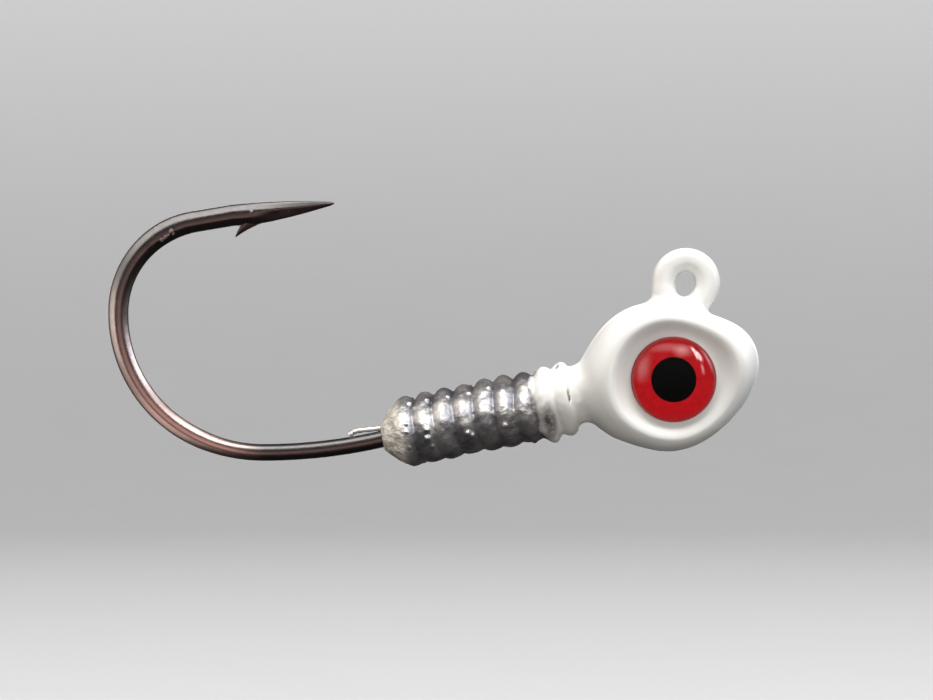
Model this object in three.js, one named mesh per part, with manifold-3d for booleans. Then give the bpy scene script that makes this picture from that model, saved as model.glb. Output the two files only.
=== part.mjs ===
// Jig head: a forged jig hook with a lead head and ribbed bait collar cast round its shank, a white
// powder coat over the head and line tie, and a stick-on domed eye in a socket on each side.
//
// Millimetres, +Z up, +X towards the nose, +Y towards the fish's left side.
// The origin is the centre of the line-tie hole.

import * as THREE from 'three';
import { mergeVertices } from 'three/addons/utils/BufferGeometryUtils.js';
import Module from 'manifold-3d';

const wasm = await Module();
wasm.setup();

// ---------------------------------------------------------------- driving dimensions

const COAT = 0.2; // powder coat thickness
const GAP = 0.04; // room between pieces that touch

// Hook wire
const WIRE_R = 0.68;
const SHANK_START = [-24.58, -12.6]; // wire centre where the shank leaves the collar
const SHANK_TILT = 12.9; // degrees, rising towards the nose, just outside the collar
const COLLAR_TILT = 11.3; // degrees, slope of the collar's axis
const BEND = [
  // from the collar round to the spear
  { radius: 43.4, turn: 12.9 },
  { radius: 12.4, turn: 32.8 },
  { radius: 11.05, turn: 59.8 },
  { radius: 7.42, turn: 78.7 },
];
const BEND_STEP = 0.85; // length of wire between sections
const FORGED_HALF_HEIGHT = [
  // distance round the bend, half the wire's height in the plane of the bend
  [0, WIRE_R],
  [10, WIRE_R],
  [15, 0.78],
  [28, 0.83],
  [36, 0.92],
  [38.6, 0.87],
];
const FORGED_START = 10; // where the wire begins to be hammered flat
const FORGED_END = 18;
const FORGED_HALF_WIDTH = 0.56;
const SPEAR_TOP = [
  [-36.95, 6.42],
  [-31.5, 7.0],
  [-28.6, 6.55],
];
const SPEAR_UNDERSIDE = [
  [-36.7, 4.72],
  [-33.5, 4.72],
  [-28.6, 6.47],
];
const SPEAR_STEPS = 8;
const SPEAR_TIP_HALF_WIDTH = 0.05;
const BARB_OUTLINE = [
  // x, z: front of the cut, free tip, notch, heel inside the spear
  [-33.9, 5.25],
  [-36.5, 3.95],
  [-36.05, 4.82],
  [-34.6, 5.7],
];
const BARB_THICKNESS = 0.6;
const WIRE_SIDES = 12;

// Line tie
const TIE_RING_R = 1.8; // to the wire's centre
const TIE_COAT_R = 0.96; // the wire with its coat, which pools a little here
const LEG_X = -TIE_RING_R; // the leg runs up the ring's rear side
const LEG_BEND_R = 2.2;
const LEG_BEND_STEPS = 6;
const TIE_RING_SEGMENTS = 26;
const TIE_COAT_SEGMENTS = 28;
const TIE_ROOT_CENTRE = [-0.4, -2.35]; // coat pooled round the foot of the loop
const TIE_ROOT_HALF_SIZE = [2.85, 1.5, 1.2];
const TIE_ROOT_SEGMENTS = 20; // round its equator, and half as many from pole to pole

// Collar, a turned shape on an axis through COLLAR_ORIGIN
const COLLAR_ORIGIN = [-23.52, -12.16];
const RING_COUNT = 9;
const RING_PITCH = 1.63;
const RING_FIRST = 1.14;
const CREST_R = 2.8;
const TROUGH_R = 2.36;
const CREST_HALF = 0.36; // half length of the flat crest
const RING_RAMP = 0.7; // slope on the hook side
const RING_DROP = 0.14; // steep face on the head side
const REAR_CONE = [
  // distance along the axis, radius
  [-1.0, 1.05],
  [-0.6, 1.5],
  [0, 2.1],
  [0.4, 2.45],
];
const NECK = [
  [15.1, 2.1],
  [15.8, 2.25],
  [16.4, 2.75],
  [17.0, 3.45],
  [18.4, 4.0],
];
const COATED_RINGS = 2; // the last rings are slimmer by their coat
const COAT_EDGE = 11.75; // where the coat starts along the collar
const COLLAR_SEGMENTS = 22;

// Head with its coat, an outline in the XZ plane swelled to a rounded body
const HEAD_CENTRE = [-1.2, -7.7];
const HEAD_HALF_THICKNESS = 5.5;
const HEAD_FULLNESS = 2.6; // superellipse exponent, 2 is an ellipse
const HEAD_OUTLINE = [
  [5.95, -6.5], // nose
  [5.0, -4.0],
  [2.5, -2.6],
  [-0.5, -1.7], // crown, under the line tie
  [-3.5, -1.62],
  [-6.05, -2.88],
  [-7.8, -5.2], // back
  [-8.5, -8.4],
  [-6.7, -11.85],
  [-4.1, -13.1],
  [-1.2, -13.6], // chin
  [1.45, -12.8],
  [3.95, -10.75],
  [5.4, -8.6],
];
const HEAD_SEGMENTS = 38;
const HEAD_LAYERS = 11; // sections across the thickness
const HEAD_LAYER_SPAN = 0.94; // share of the half turn they cover, so each side ends in a small flat

// Eye sockets and stick-on eyes
const EYE_CENTRE = [-0.9, -7.78];
const EYE_R = 3.5;
const SOCKET_FLOOR = 3.05; // coat surface of the floor, from the middle plane
const SOCKET_FLOOR_R = 3.72;
const SOCKET_RIM_R = 5.0;
const SOCKET_RIM_RISE = 1.0;
const SOCKET_FLARE_R = 6.0;
const SOCKET_DEPTH_CLEAR = 4; // past the head's side
const ADHESIVE_R = 3.35;
const ADHESIVE_THICKNESS = 0.22;
const DISC_THICKNESS = 0.14;
const PUPIL_R = 1.66; // looks larger through the dome
const DOME_SKIRT = 0.3;
const DOME_HEIGHT = 1.15;
const DOME_STEPS = 5;
const LAYER_GAP = 0.03;
const EYE_SEGMENTS = 30;

// Keeper wire, its free end resting on the shank
const KEEPER_R = 0.17;
const KEEPER_SIDES = 8;
const KEEPER_ROUTE = [
  [-27.4, -12.12],
  [-26.65, -11.91],
  [-24.4, -11.62],
  [-21.6, -11.05],
];

// ---------------------------------------------------------------- shaping helpers

const radians = THREE.MathUtils.degToRad;
const lerp = THREE.MathUtils.lerp;

// A closed solid through a list of sections, each a ring of the same number of points.
function loft(sections) {
  const count = sections[0].length;
  const positions = [];
  const indices = [];
  sections.flat().forEach((p) => positions.push(p.x, p.y, p.z));
  for (let i = 0; i + 1 < sections.length; i += 1) {
    for (let j = 0; j < count; j += 1) {
      const a = i * count + j;
      const b = i * count + ((j + 1) % count);
      indices.push(a, b, a + count);
      indices.push(b, b + count, a + count);
    }
  }
  const last = (sections.length - 1) * count;
  for (let j = 1; j + 1 < count; j += 1) {
    indices.push(0, j + 1, j);
    indices.push(last, last + j, last + j + 1);
  }
  const geometry = new THREE.BufferGeometry();
  geometry.setAttribute('position', new THREE.Float32BufferAttribute(positions, 3));
  geometry.setIndex(indices);
  return geometry;
}

// A three.js geometry as a solid for cutting and joining, its faces turned outwards.
function solid(geometry) {
  const bare = geometry.clone();
  bare.deleteAttribute('normal');
  bare.deleteAttribute('uv');
  const merged = mergeVertices(bare, 1e-4);
  const triVerts = new Uint32Array(merged.index.array);
  const vertProperties = new Float32Array(merged.attributes.position.array);
  const made = new wasm.Manifold(new wasm.Mesh({ numProp: 3, vertProperties, triVerts }));
  if (made.volume() > 0) return made;
  triVerts.reverse();
  return new wasm.Manifold(new wasm.Mesh({ numProp: 3, vertProperties, triVerts }));
}

// A solid back as a three.js geometry.
function geometryOf(made) {
  const { vertProperties, triVerts } = made.getMesh();
  const geometry = new THREE.BufferGeometry();
  geometry.setAttribute('position', new THREE.BufferAttribute(vertProperties, 3));
  geometry.setIndex(new THREE.BufferAttribute(triVerts, 1));
  geometry.computeVertexNormals();
  return geometry;
}

// An oval section across a path in the XZ plane.
function ovalSection(station, halfHeight, halfWidth, sides = WIRE_SIDES) {
  const ring = [];
  for (let j = 0; j < sides; j += 1) {
    const angle = (2 * Math.PI * j) / sides;
    const rise = halfHeight * Math.cos(angle);
    ring.push(
      new THREE.Vector3(
        station.x - rise * Math.sin(station.heading),
        halfWidth * Math.sin(angle),
        station.z + rise * Math.cos(station.heading),
      ),
    );
  }
  return ring;
}

// Stations along an arc that starts at a station; a positive turn goes anticlockwise.
function arcStations(start, radius, turn, steps) {
  const side = Math.sign(turn);
  const centreX = start.x - side * radius * Math.sin(start.heading);
  const centreZ = start.z + side * radius * Math.cos(start.heading);
  const stations = [];
  for (let i = 1; i <= steps; i += 1) {
    const heading = start.heading + (turn * i) / steps;
    stations.push({
      x: centreX + side * radius * Math.sin(heading),
      z: centreZ - side * radius * Math.cos(heading),
      heading,
    });
  }
  return stations;
}

// ---------------------------------------------------------------- hook

// From the collar's rear face down the shank, round the bend and up to the spear's root.
function bendStations() {
  const stations = [{ x: SHANK_START[0], z: SHANK_START[1], heading: Math.PI + radians(SHANK_TILT) }];
  for (const { radius, turn } of BEND) {
    const steps = Math.ceil((radius * radians(turn)) / BEND_STEP);
    stations.push(...arcStations(stations.at(-1), radius, -radians(turn), steps));
  }
  return stations;
}

// From the collar's rear face through the collar and head, and up the leg to the line tie.
function hiddenStations() {
  const tilt = radians(COLLAR_TILT);
  const turn = Math.PI / 2 - tilt;
  const cornerZ = SHANK_START[1] + (LEG_X - SHANK_START[0]) * Math.tan(tilt);
  const tangent = LEG_BEND_R * Math.tan(turn / 2);
  const straightEnd = {
    x: LEG_X - tangent * Math.cos(tilt),
    z: cornerZ - tangent * Math.sin(tilt),
    heading: tilt,
  };
  const shank = { x: SHANK_START[0], z: SHANK_START[1], heading: tilt };
  const legBend = arcStations(straightEnd, LEG_BEND_R, turn, LEG_BEND_STEPS);
  const legTop = { x: LEG_X, z: 0, heading: Math.PI / 2 };
  return [shank, straightEnd, ...legBend, legTop];
}

function forgedHalfHeight(distance) {
  const next = FORGED_HALF_HEIGHT.findIndex(([along]) => along > distance);
  if (next < 0) return FORGED_HALF_HEIGHT.at(-1)[1];
  const [fromAlong, fromHeight] = FORGED_HALF_HEIGHT[next - 1];
  const [toAlong, toHeight] = FORGED_HALF_HEIGHT[next];
  return lerp(fromHeight, toHeight, (distance - fromAlong) / (toAlong - fromAlong));
}

function bendSections() {
  const stations = bendStations();
  let distance = 0;
  return stations.map((station, i) => {
    const before = stations[Math.max(i - 1, 0)];
    distance += Math.hypot(station.x - before.x, station.z - before.z);
    const forged = THREE.MathUtils.smoothstep(distance, FORGED_START, FORGED_END);
    const halfWidth = lerp(WIRE_R, FORGED_HALF_WIDTH, forged);
    return ovalSection(station, forgedHalfHeight(distance), halfWidth);
  });
}

// The needle end, between a curve along its top and one along its underside.
function spearSections() {
  const edge = (points) =>
    new THREE.QuadraticBezierCurve(...points.map(([x, z]) => new THREE.Vector2(x, z)));
  const top = edge(SPEAR_TOP);
  const underside = edge(SPEAR_UNDERSIDE);
  const sections = [];
  for (let i = 1; i <= SPEAR_STEPS; i += 1) {
    const along = i / SPEAR_STEPS;
    const high = top.getPoint(along);
    const low = underside.getPoint(along);
    const middle = high.clone().add(low).divideScalar(2);
    const heading = Math.atan2(low.x - high.x, high.y - low.y);
    const halfWidth = lerp(FORGED_HALF_WIDTH, SPEAR_TIP_HALF_WIDTH, along ** 1.5);
    const station = { x: middle.x, z: middle.y, heading };
    sections.push(ovalSection(station, high.distanceTo(low) / 2, halfWidth));
  }
  return sections;
}

function barbGeometry() {
  const outline = new THREE.Shape(BARB_OUTLINE.map(([x, z]) => new THREE.Vector2(x, z)));
  const options = { depth: BARB_THICKNESS, bevelEnabled: false };
  const plate = new THREE.ExtrudeGeometry(outline, options);
  plate.translate(0, 0, -BARB_THICKNESS / 2);
  return plate.rotateX(Math.PI / 2);
}

// The round wire inside the casting, with its ring, grown for the room it needs.
function hiddenWire(grow) {
  const sections = hiddenStations().map((s) => ovalSection(s, WIRE_R + grow, WIRE_R + grow));
  const ring = new THREE.TorusGeometry(TIE_RING_R, WIRE_R + grow, WIRE_SIDES, TIE_RING_SEGMENTS);
  ring.rotateX(Math.PI / 2);
  return solid(loft(sections)).add(solid(ring));
}

function hookGeometry() {
  const visible = solid(loft([...bendSections(), ...spearSections()]));
  return geometryOf(visible.add(hiddenWire(0)).add(solid(barbGeometry())));
}

// ---------------------------------------------------------------- keeper wire

function keeperSolid(grow) {
  const sections = KEEPER_ROUTE.map(([x, z], i) => {
    const [fromX, fromZ] = KEEPER_ROUTE[Math.max(i - 1, 0)];
    const [toX, toZ] = KEEPER_ROUTE[Math.min(i + 1, KEEPER_ROUTE.length - 1)];
    const heading = Math.atan2(toZ - fromZ, toX - fromX);
    const past = i === KEEPER_ROUTE.length - 1 ? grow : 0;
    const radius = KEEPER_R + grow;
    return ovalSection({ x: x + past, z, heading }, radius, radius, KEEPER_SIDES);
  });
  return solid(loft(sections));
}

// ---------------------------------------------------------------- lead casting

// Distance along the axis and radius of the collar, from its rear face to inside the head.
function collarProfile() {
  const profile = [...REAR_CONE];
  for (let i = 0; i < RING_COUNT; i += 1) {
    const middle = RING_FIRST + i * RING_PITCH;
    const under = i < RING_COUNT - COATED_RINGS ? 0 : COAT;
    if (i > 0) profile.push([middle - CREST_HALF - RING_RAMP, TROUGH_R - under]);
    profile.push([middle - CREST_HALF, CREST_R - under]);
    profile.push([middle + CREST_HALF, CREST_R - under]);
    profile.push([middle + CREST_HALF + RING_DROP, TROUGH_R - under]);
  }
  return [...profile, ...NECK];
}

// The collar turned on its own axis, from a given distance on, grown outwards.
function collarSolid(grow, from = -Infinity) {
  const kept = collarProfile().filter(([along]) => along > from);
  if (Number.isFinite(from)) kept.unshift([from, TROUGH_R - COAT]);
  const points = kept.map(([along, radius]) => new THREE.Vector2(radius + grow, along));
  points.unshift(new THREE.Vector2(0, kept[0][0]));
  points.push(new THREE.Vector2(0, kept.at(-1)[0]));
  const turned = new THREE.LatheGeometry(points, COLLAR_SEGMENTS);
  turned.rotateZ(-Math.PI / 2); // its axis now runs along +X
  turned.rotateY(-radians(COLLAR_TILT));
  turned.translate(COLLAR_ORIGIN[0], 0, COLLAR_ORIGIN[1]);
  return solid(turned);
}

// The head without its sockets: the outline shrinks towards each side as a superellipse.
// The outline is the coat's, so the bare casting is smaller by the coat.
function headSolid(grow) {
  const inset = grow - COAT;
  const corners = HEAD_OUTLINE.map(([x, z]) => new THREE.Vector3(x, 0, z));
  const outline = new THREE.CatmullRomCurve3(corners, true).getSpacedPoints(HEAD_SEGMENTS);
  outline.pop(); // the last point repeats the first
  const centre = new THREE.Vector3(HEAD_CENTRE[0], 0, HEAD_CENTRE[1]);
  const power = 2 / HEAD_FULLNESS;
  const sections = [];
  for (let i = 0; i < HEAD_LAYERS; i += 1) {
    const angle = (i / (HEAD_LAYERS - 1) - 0.5) * HEAD_LAYER_SPAN * Math.PI;
    const share = Math.cos(angle) ** power;
    const depth = Math.sign(angle) * Math.abs(Math.sin(angle)) ** power;
    sections.push(
      outline.map((corner) => {
        const spoke = corner.clone().sub(centre);
        spoke.setLength((spoke.length() + inset) * share);
        const point = centre.clone().add(spoke);
        point.y = depth * (HEAD_HALF_THICKNESS + inset);
        return point;
      }),
    );
  }
  return solid(loft(sections));
}

// The tool that sinks a socket on one side: a flat floor, a sloping wall and a flared mouth.
function socketCutter(side, floor) {
  const profile = [
    [0, floor],
    [SOCKET_FLOOR_R, floor],
    [SOCKET_RIM_R, floor + SOCKET_RIM_RISE],
    [SOCKET_FLARE_R, floor + SOCKET_DEPTH_CLEAR],
    [0, floor + SOCKET_DEPTH_CLEAR],
  ];
  const turned = new THREE.LatheGeometry(
    profile.map(([radius, depth]) => new THREE.Vector2(radius, depth)),
    EYE_SEGMENTS,
  );
  if (side < 0) turned.rotateX(Math.PI);
  turned.translate(EYE_CENTRE[0], 0, EYE_CENTRE[1]);
  return solid(turned);
}

// Head and collar together, grown outwards, with the sockets sunk to match.
function castingBlank(grow, collarFrom) {
  const floor = SOCKET_FLOOR - COAT + grow;
  return headSolid(grow)
    .add(collarSolid(grow, collarFrom))
    .subtract(socketCutter(1, floor))
    .subtract(socketCutter(-1, floor));
}

function castingGeometry() {
  return geometryOf(castingBlank(0).subtract(hiddenWire(GAP)).subtract(keeperSolid(GAP)));
}

// ---------------------------------------------------------------- powder coat

function tieCoatSolid() {
  const loop = new THREE.TorusGeometry(TIE_RING_R, TIE_COAT_R, WIRE_SIDES, TIE_COAT_SEGMENTS);
  loop.rotateX(Math.PI / 2);
  const root = new THREE.SphereGeometry(1, TIE_ROOT_SEGMENTS, TIE_ROOT_SEGMENTS / 2);
  root.scale(...TIE_ROOT_HALF_SIZE);
  root.translate(TIE_ROOT_CENTRE[0], 0, TIE_ROOT_CENTRE[1]);
  return solid(loop).add(solid(root));
}

function coatGeometry() {
  const outside = castingBlank(COAT, COAT_EDGE).add(tieCoatSolid());
  return geometryOf(outside.subtract(castingBlank(GAP)).subtract(hiddenWire(GAP)));
}

// ---------------------------------------------------------------- stick-on eyes

// A turned piece of an eye: profile points are radius and height above the socket floor.
function eyePiece(side, profile) {
  const points = profile.map(([radius, height]) => new THREE.Vector2(radius, height + SOCKET_FLOOR));
  const turned = new THREE.LatheGeometry(points, EYE_SEGMENTS);
  if (side < 0) turned.rotateX(Math.PI);
  turned.translate(EYE_CENTRE[0], 0, EYE_CENTRE[1]);
  return geometryOf(solid(turned));
}

function discProfile(radius, bottom, thickness) {
  return [
    [0, bottom],
    [radius, bottom],
    [radius, bottom + thickness],
    [0, bottom + thickness],
  ];
}

// The printed film has a red ring round a black spot, each a piece of its own.
function ringProfile(inner, outer, bottom, thickness) {
  return [
    [inner, bottom],
    [outer, bottom],
    [outer, bottom + thickness],
    [inner, bottom + thickness],
    [inner, bottom],
  ];
}

// A shallow cap on a short skirt.
function domeProfile(bottom) {
  const cap = DOME_HEIGHT - DOME_SKIRT;
  const profile = [
    [0, bottom],
    [EYE_R, bottom],
  ];
  for (let i = 0; i <= DOME_STEPS; i += 1) {
    const angle = (Math.PI / 2) * (i / DOME_STEPS);
    const height = bottom + DOME_SKIRT + cap * Math.sin(angle);
    profile.push([i < DOME_STEPS ? EYE_R * Math.cos(angle) : 0, height]);
  }
  return profile;
}

function eyeProfiles() {
  const adhesiveBottom = LAYER_GAP;
  const discBottom = adhesiveBottom + ADHESIVE_THICKNESS + LAYER_GAP;
  const domeBottom = discBottom + DISC_THICKNESS + LAYER_GAP;
  return {
    adhesive: discProfile(ADHESIVE_R, adhesiveBottom, ADHESIVE_THICKNESS),
    iris_disc: ringProfile(PUPIL_R + LAYER_GAP, EYE_R, discBottom, DISC_THICKNESS),
    pupil_disc: discProfile(PUPIL_R, discBottom, DISC_THICKNESS),
    dome: domeProfile(domeBottom),
  };
}

// ---------------------------------------------------------------- assembly

function finish(color, roughness, metalness, extra = {}) {
  return new THREE.MeshStandardMaterial({ color, roughness, metalness, ...extra });
}

const MATERIALS = {
  hook: finish(0x4a4543, 0.3, 1),
  lead_casting: finish(0xa6a5a3, 0.42, 1),
  powder_coat: finish(0xeeeeea, 0.3, 0),
  keeper_wire: finish(0xd8d8d6, 0.25, 1),
  adhesive: finish(0xe8e4da, 0.8, 0),
  iris_disc: finish(0xb8141c, 0.35, 0.1),
  pupil_disc: finish(0x050505, 0.4, 0),
  dome: finish(0xffffff, 0.05, 0, { transparent: true, opacity: 0.25 }),
};

const jigHead = new THREE.Group();
jigHead.name = 'jig_head';

function addPiece(name, geometry, material) {
  const mesh = new THREE.Mesh(geometry, material);
  mesh.name = name;
  jigHead.add(mesh);
}

addPiece('hook', hookGeometry(), MATERIALS.hook);
addPiece('lead_casting', castingGeometry(), MATERIALS.lead_casting);
addPiece('powder_coat', coatGeometry(), MATERIALS.powder_coat);
addPiece('keeper_wire', geometryOf(keeperSolid(0)), MATERIALS.keeper_wire);

for (const [sideName, side] of [['right', -1], ['left', 1]]) {
  for (const [piece, profile] of Object.entries(eyeProfiles())) {
    addPiece(`${sideName}_eye_${piece}`, eyePiece(side, profile), MATERIALS[piece]);
  }
}

export default jigHead;
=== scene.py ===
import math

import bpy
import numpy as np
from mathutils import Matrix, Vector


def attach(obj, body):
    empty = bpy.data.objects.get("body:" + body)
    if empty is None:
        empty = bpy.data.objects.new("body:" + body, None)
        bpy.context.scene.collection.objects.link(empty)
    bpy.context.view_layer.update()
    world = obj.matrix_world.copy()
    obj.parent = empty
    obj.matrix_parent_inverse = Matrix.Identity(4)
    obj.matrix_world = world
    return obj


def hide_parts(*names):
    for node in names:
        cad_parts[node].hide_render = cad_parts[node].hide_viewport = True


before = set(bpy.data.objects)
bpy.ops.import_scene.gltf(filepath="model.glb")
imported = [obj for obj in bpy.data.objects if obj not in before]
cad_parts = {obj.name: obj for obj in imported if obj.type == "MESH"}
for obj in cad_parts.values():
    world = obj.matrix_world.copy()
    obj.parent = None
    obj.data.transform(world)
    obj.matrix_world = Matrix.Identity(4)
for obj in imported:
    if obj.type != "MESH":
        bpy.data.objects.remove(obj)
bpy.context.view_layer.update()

# A lead-head fishing jig: forged black-nickel hook, ribbed lead collar, white powder-coated head
# and a domed red eye in a dish on each side. Shapes are worked out in millimetres, in the frame's
# axes: +X towards the nose, +Z up, origin in the line-tie hole. The camera side is -Y.

MM = 0.001
TURN = 2 * math.pi
SEED = 11

# -------- driving dimensions

# Hook wire
WIRE_R = 0.68
SHANK_START = (-24.58, -12.6)  # x, z where the shank leaves the collar
COLLAR_TILT = math.radians(11.3)
SHANK_TILT = math.radians(12.9)
BEND = ((43.4, 12.9), (12.4, 32.8), (11.05, 59.8), (7.42, 78.7))  # radius, degrees turned
WIRE_STEP = 0.13  # distance from one ring of points to the next
WIRE_SIDES = 72
TIE_R = 1.8  # the ring's own radius, to the middle of the wire
TIE_START = math.radians(257)  # where the ring's free end stops short of the leg
LEG_BEND_R = 2.2
# Where the ring's leg would meet the shank
CORNER = (-TIE_R, SHANK_START[1] + (-TIE_R - SHANK_START[0]) * math.tan(COLLAR_TILT))
# Distance round the bend and the wire's half height there
FORGED_HALF_HEIGHT = ((0, 0.68), (10, 0.68), (15, 0.78), (28, 0.83), (36, 0.92), (38.6, 0.87))
FORGED_FROM, FORGED_TO = 9.0, 17.0  # distance round the bend over which the wire turns flat
FORGED_HALF_WIDTH = 0.56

# Spear and barb
SPEAR_TOP = ((-36.95, 6.42), (-32.3, 6.87), (-28.5, 6.69))
SPEAR_UNDERSIDE = ((-36.7, 4.72), (-33.5, 4.76), (-28.5, 6.42))
SPEAR_STEPS = 90
BARB_BACK = ((-35.3, 5.85), (-36.25, 4.75), (-36.54, 3.86))
BARB_FRONT = ((-33.2, 5.3), (-35.0, 4.85), (-36.5, 3.8))
BARB_STEPS = 36
BARB_SIDES = 40
BARB_HALF_WIDTH = 0.3
SCAR_HEIGHT = 0.07  # how far lifted plating stands up

# Collar, along its own axis from COLLAR_ORIGIN
COLLAR_ORIGIN = (-23.52, -12.16)
RING_COUNT = 9
RING_PITCH = 1.63
RING_FIRST = 1.14
CREST_R = 2.84
TROUGH_R = 2.3
# Distance along and radius, over the rear face and over the neck
REAR_CONE = ((-1.1, 0.8), (-1.0, 1.2), (-0.55, 1.75), (0.0, 2.25), (0.6, 2.7), (1.0, 2.84))
NECK = ((15.1, 2.12), (15.8, 2.25), (16.4, 2.75), (17.0, 3.45), (18.4, 4.0), (20.0, 4.1))
NECK_RISE = 0.24  # the neck's middle sits above the collar's axis
NECK_RISE_FROM, NECK_RISE_TO = 13.5, 15.5
CASTING_END, SLEEVE_END = 19.0, 18.5  # where collar and painted neck stop inside the head
SAG_AT, SAG = 12.6, 0.22  # a swelling under the paint's edge
BEAD_FILLET = 0.12

# Head, loop and powder coat
COAT = 0.2
SKIN = 0.28  # from the painted surface to the coat's hidden inner face
UNDER_SKIN = 0.02  # from there to the lead
HEAD_CENTRE = (-1.2, -7.7)
HEAD_HALF_THICKNESS = 5.5
HEAD_FULLNESS = 2.6
HEAD_OUTLINE = (  # x, z
    (5.95, -6.5), (5.0, -4.0), (2.5, -2.6), (-0.5, -1.7), (-3.5, -1.62), (-6.05, -2.88),
    (-7.8, -5.2), (-8.5, -8.4), (-6.7, -11.85), (-4.1, -13.1), (-1.2, -13.6), (1.45, -12.8),
    (3.95, -10.75), (5.4, -8.6),
)
LOOP_CENTRE = (0.08, 0.15)
LOOP_R = 2.76
LOOP_HALF_THICKNESS = 0.96
LOOP_FULLNESS = 2.2
HOLE_HALF_SIZE = (0.79, 1.03)
HOLE_LEAN = math.radians(12)
LEG_TOP, LEG_FOOT, LEG_R = (-1.8, -0.6), (-1.9, -2.6), 0.88  # the painted leg under the loop
NECK_FILLET, LEG_FILLET, LOOP_FILLET = 0.5, 0.35, 0.85
COAT_EDGE = 12.15  # where the paint ends along the collar
WHOLE_FROM = 15.4  # past this the paint is nowhere thin
BARE, DEEPEST = -0.12, -0.14  # the coat's thickness where there is none, and its lowest value

# Eyes
EYE_CENTRE = (-1.12, -7.74)
EYE_R = 3.45
PUPIL_R = 1.72
SOCKET_FLOOR = 3.05
DISH_CENTRE = (-0.84, -7.9)  # the dish's rim is a little off the eye's centre
DISH_FLOOR_R = 3.35
DISH_RIM_R = 5.0
DISH_RISE = 1.15
DISH_SOFTNESS = 1.0  # rounding of the rim
DOME_R = 6.1
PAD_R = 3.35
# Bottom and top of each layer above the socket's floor
PAD_LAYER, IRIS_LAYER, PUPIL_LAYER, DOME_LAYER = (0.02, 0.27), (0.28, 0.42), (0.41, 0.45), (0.38, 1.58)

# Keeper wire
KEEPER_R = 0.21
KEEPER_ROUTE = ((-27.35, -12.3), (-26.75, -11.93), (-24.7, -11.72), (-21.6, -11.1))
KEEPER_STEPS = 90
KEEPER_SIDES = 24

# Corners and grid steps of the two meshes that are worked out from signed distances
CASTING_BOX, CASTING_STEP = ((-24.9, -5.5, -15.2), (5.9, 5.5, -1.2)), 0.1
COAT_BOX, COAT_STEP = ((-14.4, -5.6, -15.2), (6.5, 5.6, 3.4)), 0.105
COARSE_CELL = 4  # grid steps in one cell of the coarse first look
NEAR_SURFACE = 2.5  # coarse cells: what lies further off isn't worked out again

# -------- small mathematics

random = np.random.default_rng(SEED)


def circle(count):
    """Angles spread evenly round a circle."""
    return np.linspace(0, TURN, count, endpoint=False)


def smoothstep(low, high, value):
    share = np.clip((value - low) / (high - low), 0, 1)
    return share * share * (3 - 2 * share)


def union(a, b, blend):
    """Two signed distances joined, with a fillet of about that size."""
    share = np.clip(0.5 + 0.5 * (b - a) / blend, 0, 1)
    return b * (1 - share) + a * share - blend * share * (1 - share)


def cut(a, b, blend):
    """Signed distance a with b taken away, the edge rounded."""
    return -union(-a, b, blend)


def bezier(points, share):
    """A quadratic curve through the plane, by its three control points."""
    start, pull, end = (np.array(p) for p in points)
    share = np.asarray(share)[..., None]
    return start * (1 - share) ** 2 + pull * 2 * share * (1 - share) + end * share**2


def softened(values, reach):
    """A table of evenly spaced values blurred over about that many entries."""
    offsets = np.arange(-3 * reach, 3 * reach + 1)
    weights = np.exp(-0.5 * (offsets / reach) ** 2)
    padded = np.pad(values, 3 * reach, mode="edge")
    return np.convolve(padded, weights / weights.sum(), mode="valid")


def ripples(count, finest, size):
    """A seeded wavy pattern over distance along and angle around the collar."""
    along_rate = random.normal(0, finest, count)
    around_rate = np.round(random.normal(0, finest * CREST_R, count))
    phase = random.uniform(0, TURN, count)

    def pattern(along, around):
        total = np.zeros_like(along)
        for rate, turns, start in zip(along_rate, around_rate, phase):
            total += np.cos(rate * along + turns * around + start)
        return total * size * math.sqrt(2 / count)

    return pattern


# -------- mesh building


def add_object(name, data):
    made = bpy.data.objects.new(name, data)
    bpy.context.scene.collection.objects.link(made)
    return made


def add_piece(node, points, faces, material, sharp_above=None):
    """A mesh piece given in millimetres, with the name of the CAD node that it stands for."""
    mesh = bpy.data.meshes.new(node)
    mesh.from_pydata((np.asarray(points) * MM).tolist(), [], [list(f) for f in faces])
    mesh.validate()
    mesh.shade_smooth()
    if sharp_above is not None:
        mesh.set_sharp_from_angle(angle=math.radians(sharp_above))
    mesh.materials.append(material)
    piece = add_object(node, mesh)
    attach(piece, "root")
    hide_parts(node)
    return piece


def mark_points(piece, name, values):
    """Stores one number for each vertex, for the piece's material to read."""
    layer = piece.data.attributes.new(name, "FLOAT", "POINT")
    layer.data.foreach_set("value", np.asarray(values, np.float32))


def bands(first, rows, count):
    """Faces between rings of points that are numbered on from first."""
    faces = []
    for start in range(first, first + (rows - 1) * count, count):
        for j in range(count):
            a, b = start + j, start + (j + 1) % count
            faces.append((a, a + count, b + count, b))
    return faces


def loft(rings):
    """Points and faces of a tube through rings of points, closed at both ends."""
    rows, count = rings.shape[:2]
    ends = rings[[0, -1]].mean(axis=1)
    points = np.concatenate([rings.reshape(-1, 3), ends])
    faces = bands(0, rows, count)
    first, last = rows * count, rows * count + 1
    for j in range(count):
        following = (j + 1) % count
        faces.append((first, j, following))
        faces.append((last, (rows - 1) * count + following, (rows - 1) * count + j))
    return points, faces


def joined(first, second):
    """Two sets of points and faces as one."""
    start = len(first[0])
    moved = [tuple(start + i for i in face) for face in second[1]]
    return np.concatenate([first[0], second[0]]), first[1] + moved


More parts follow.
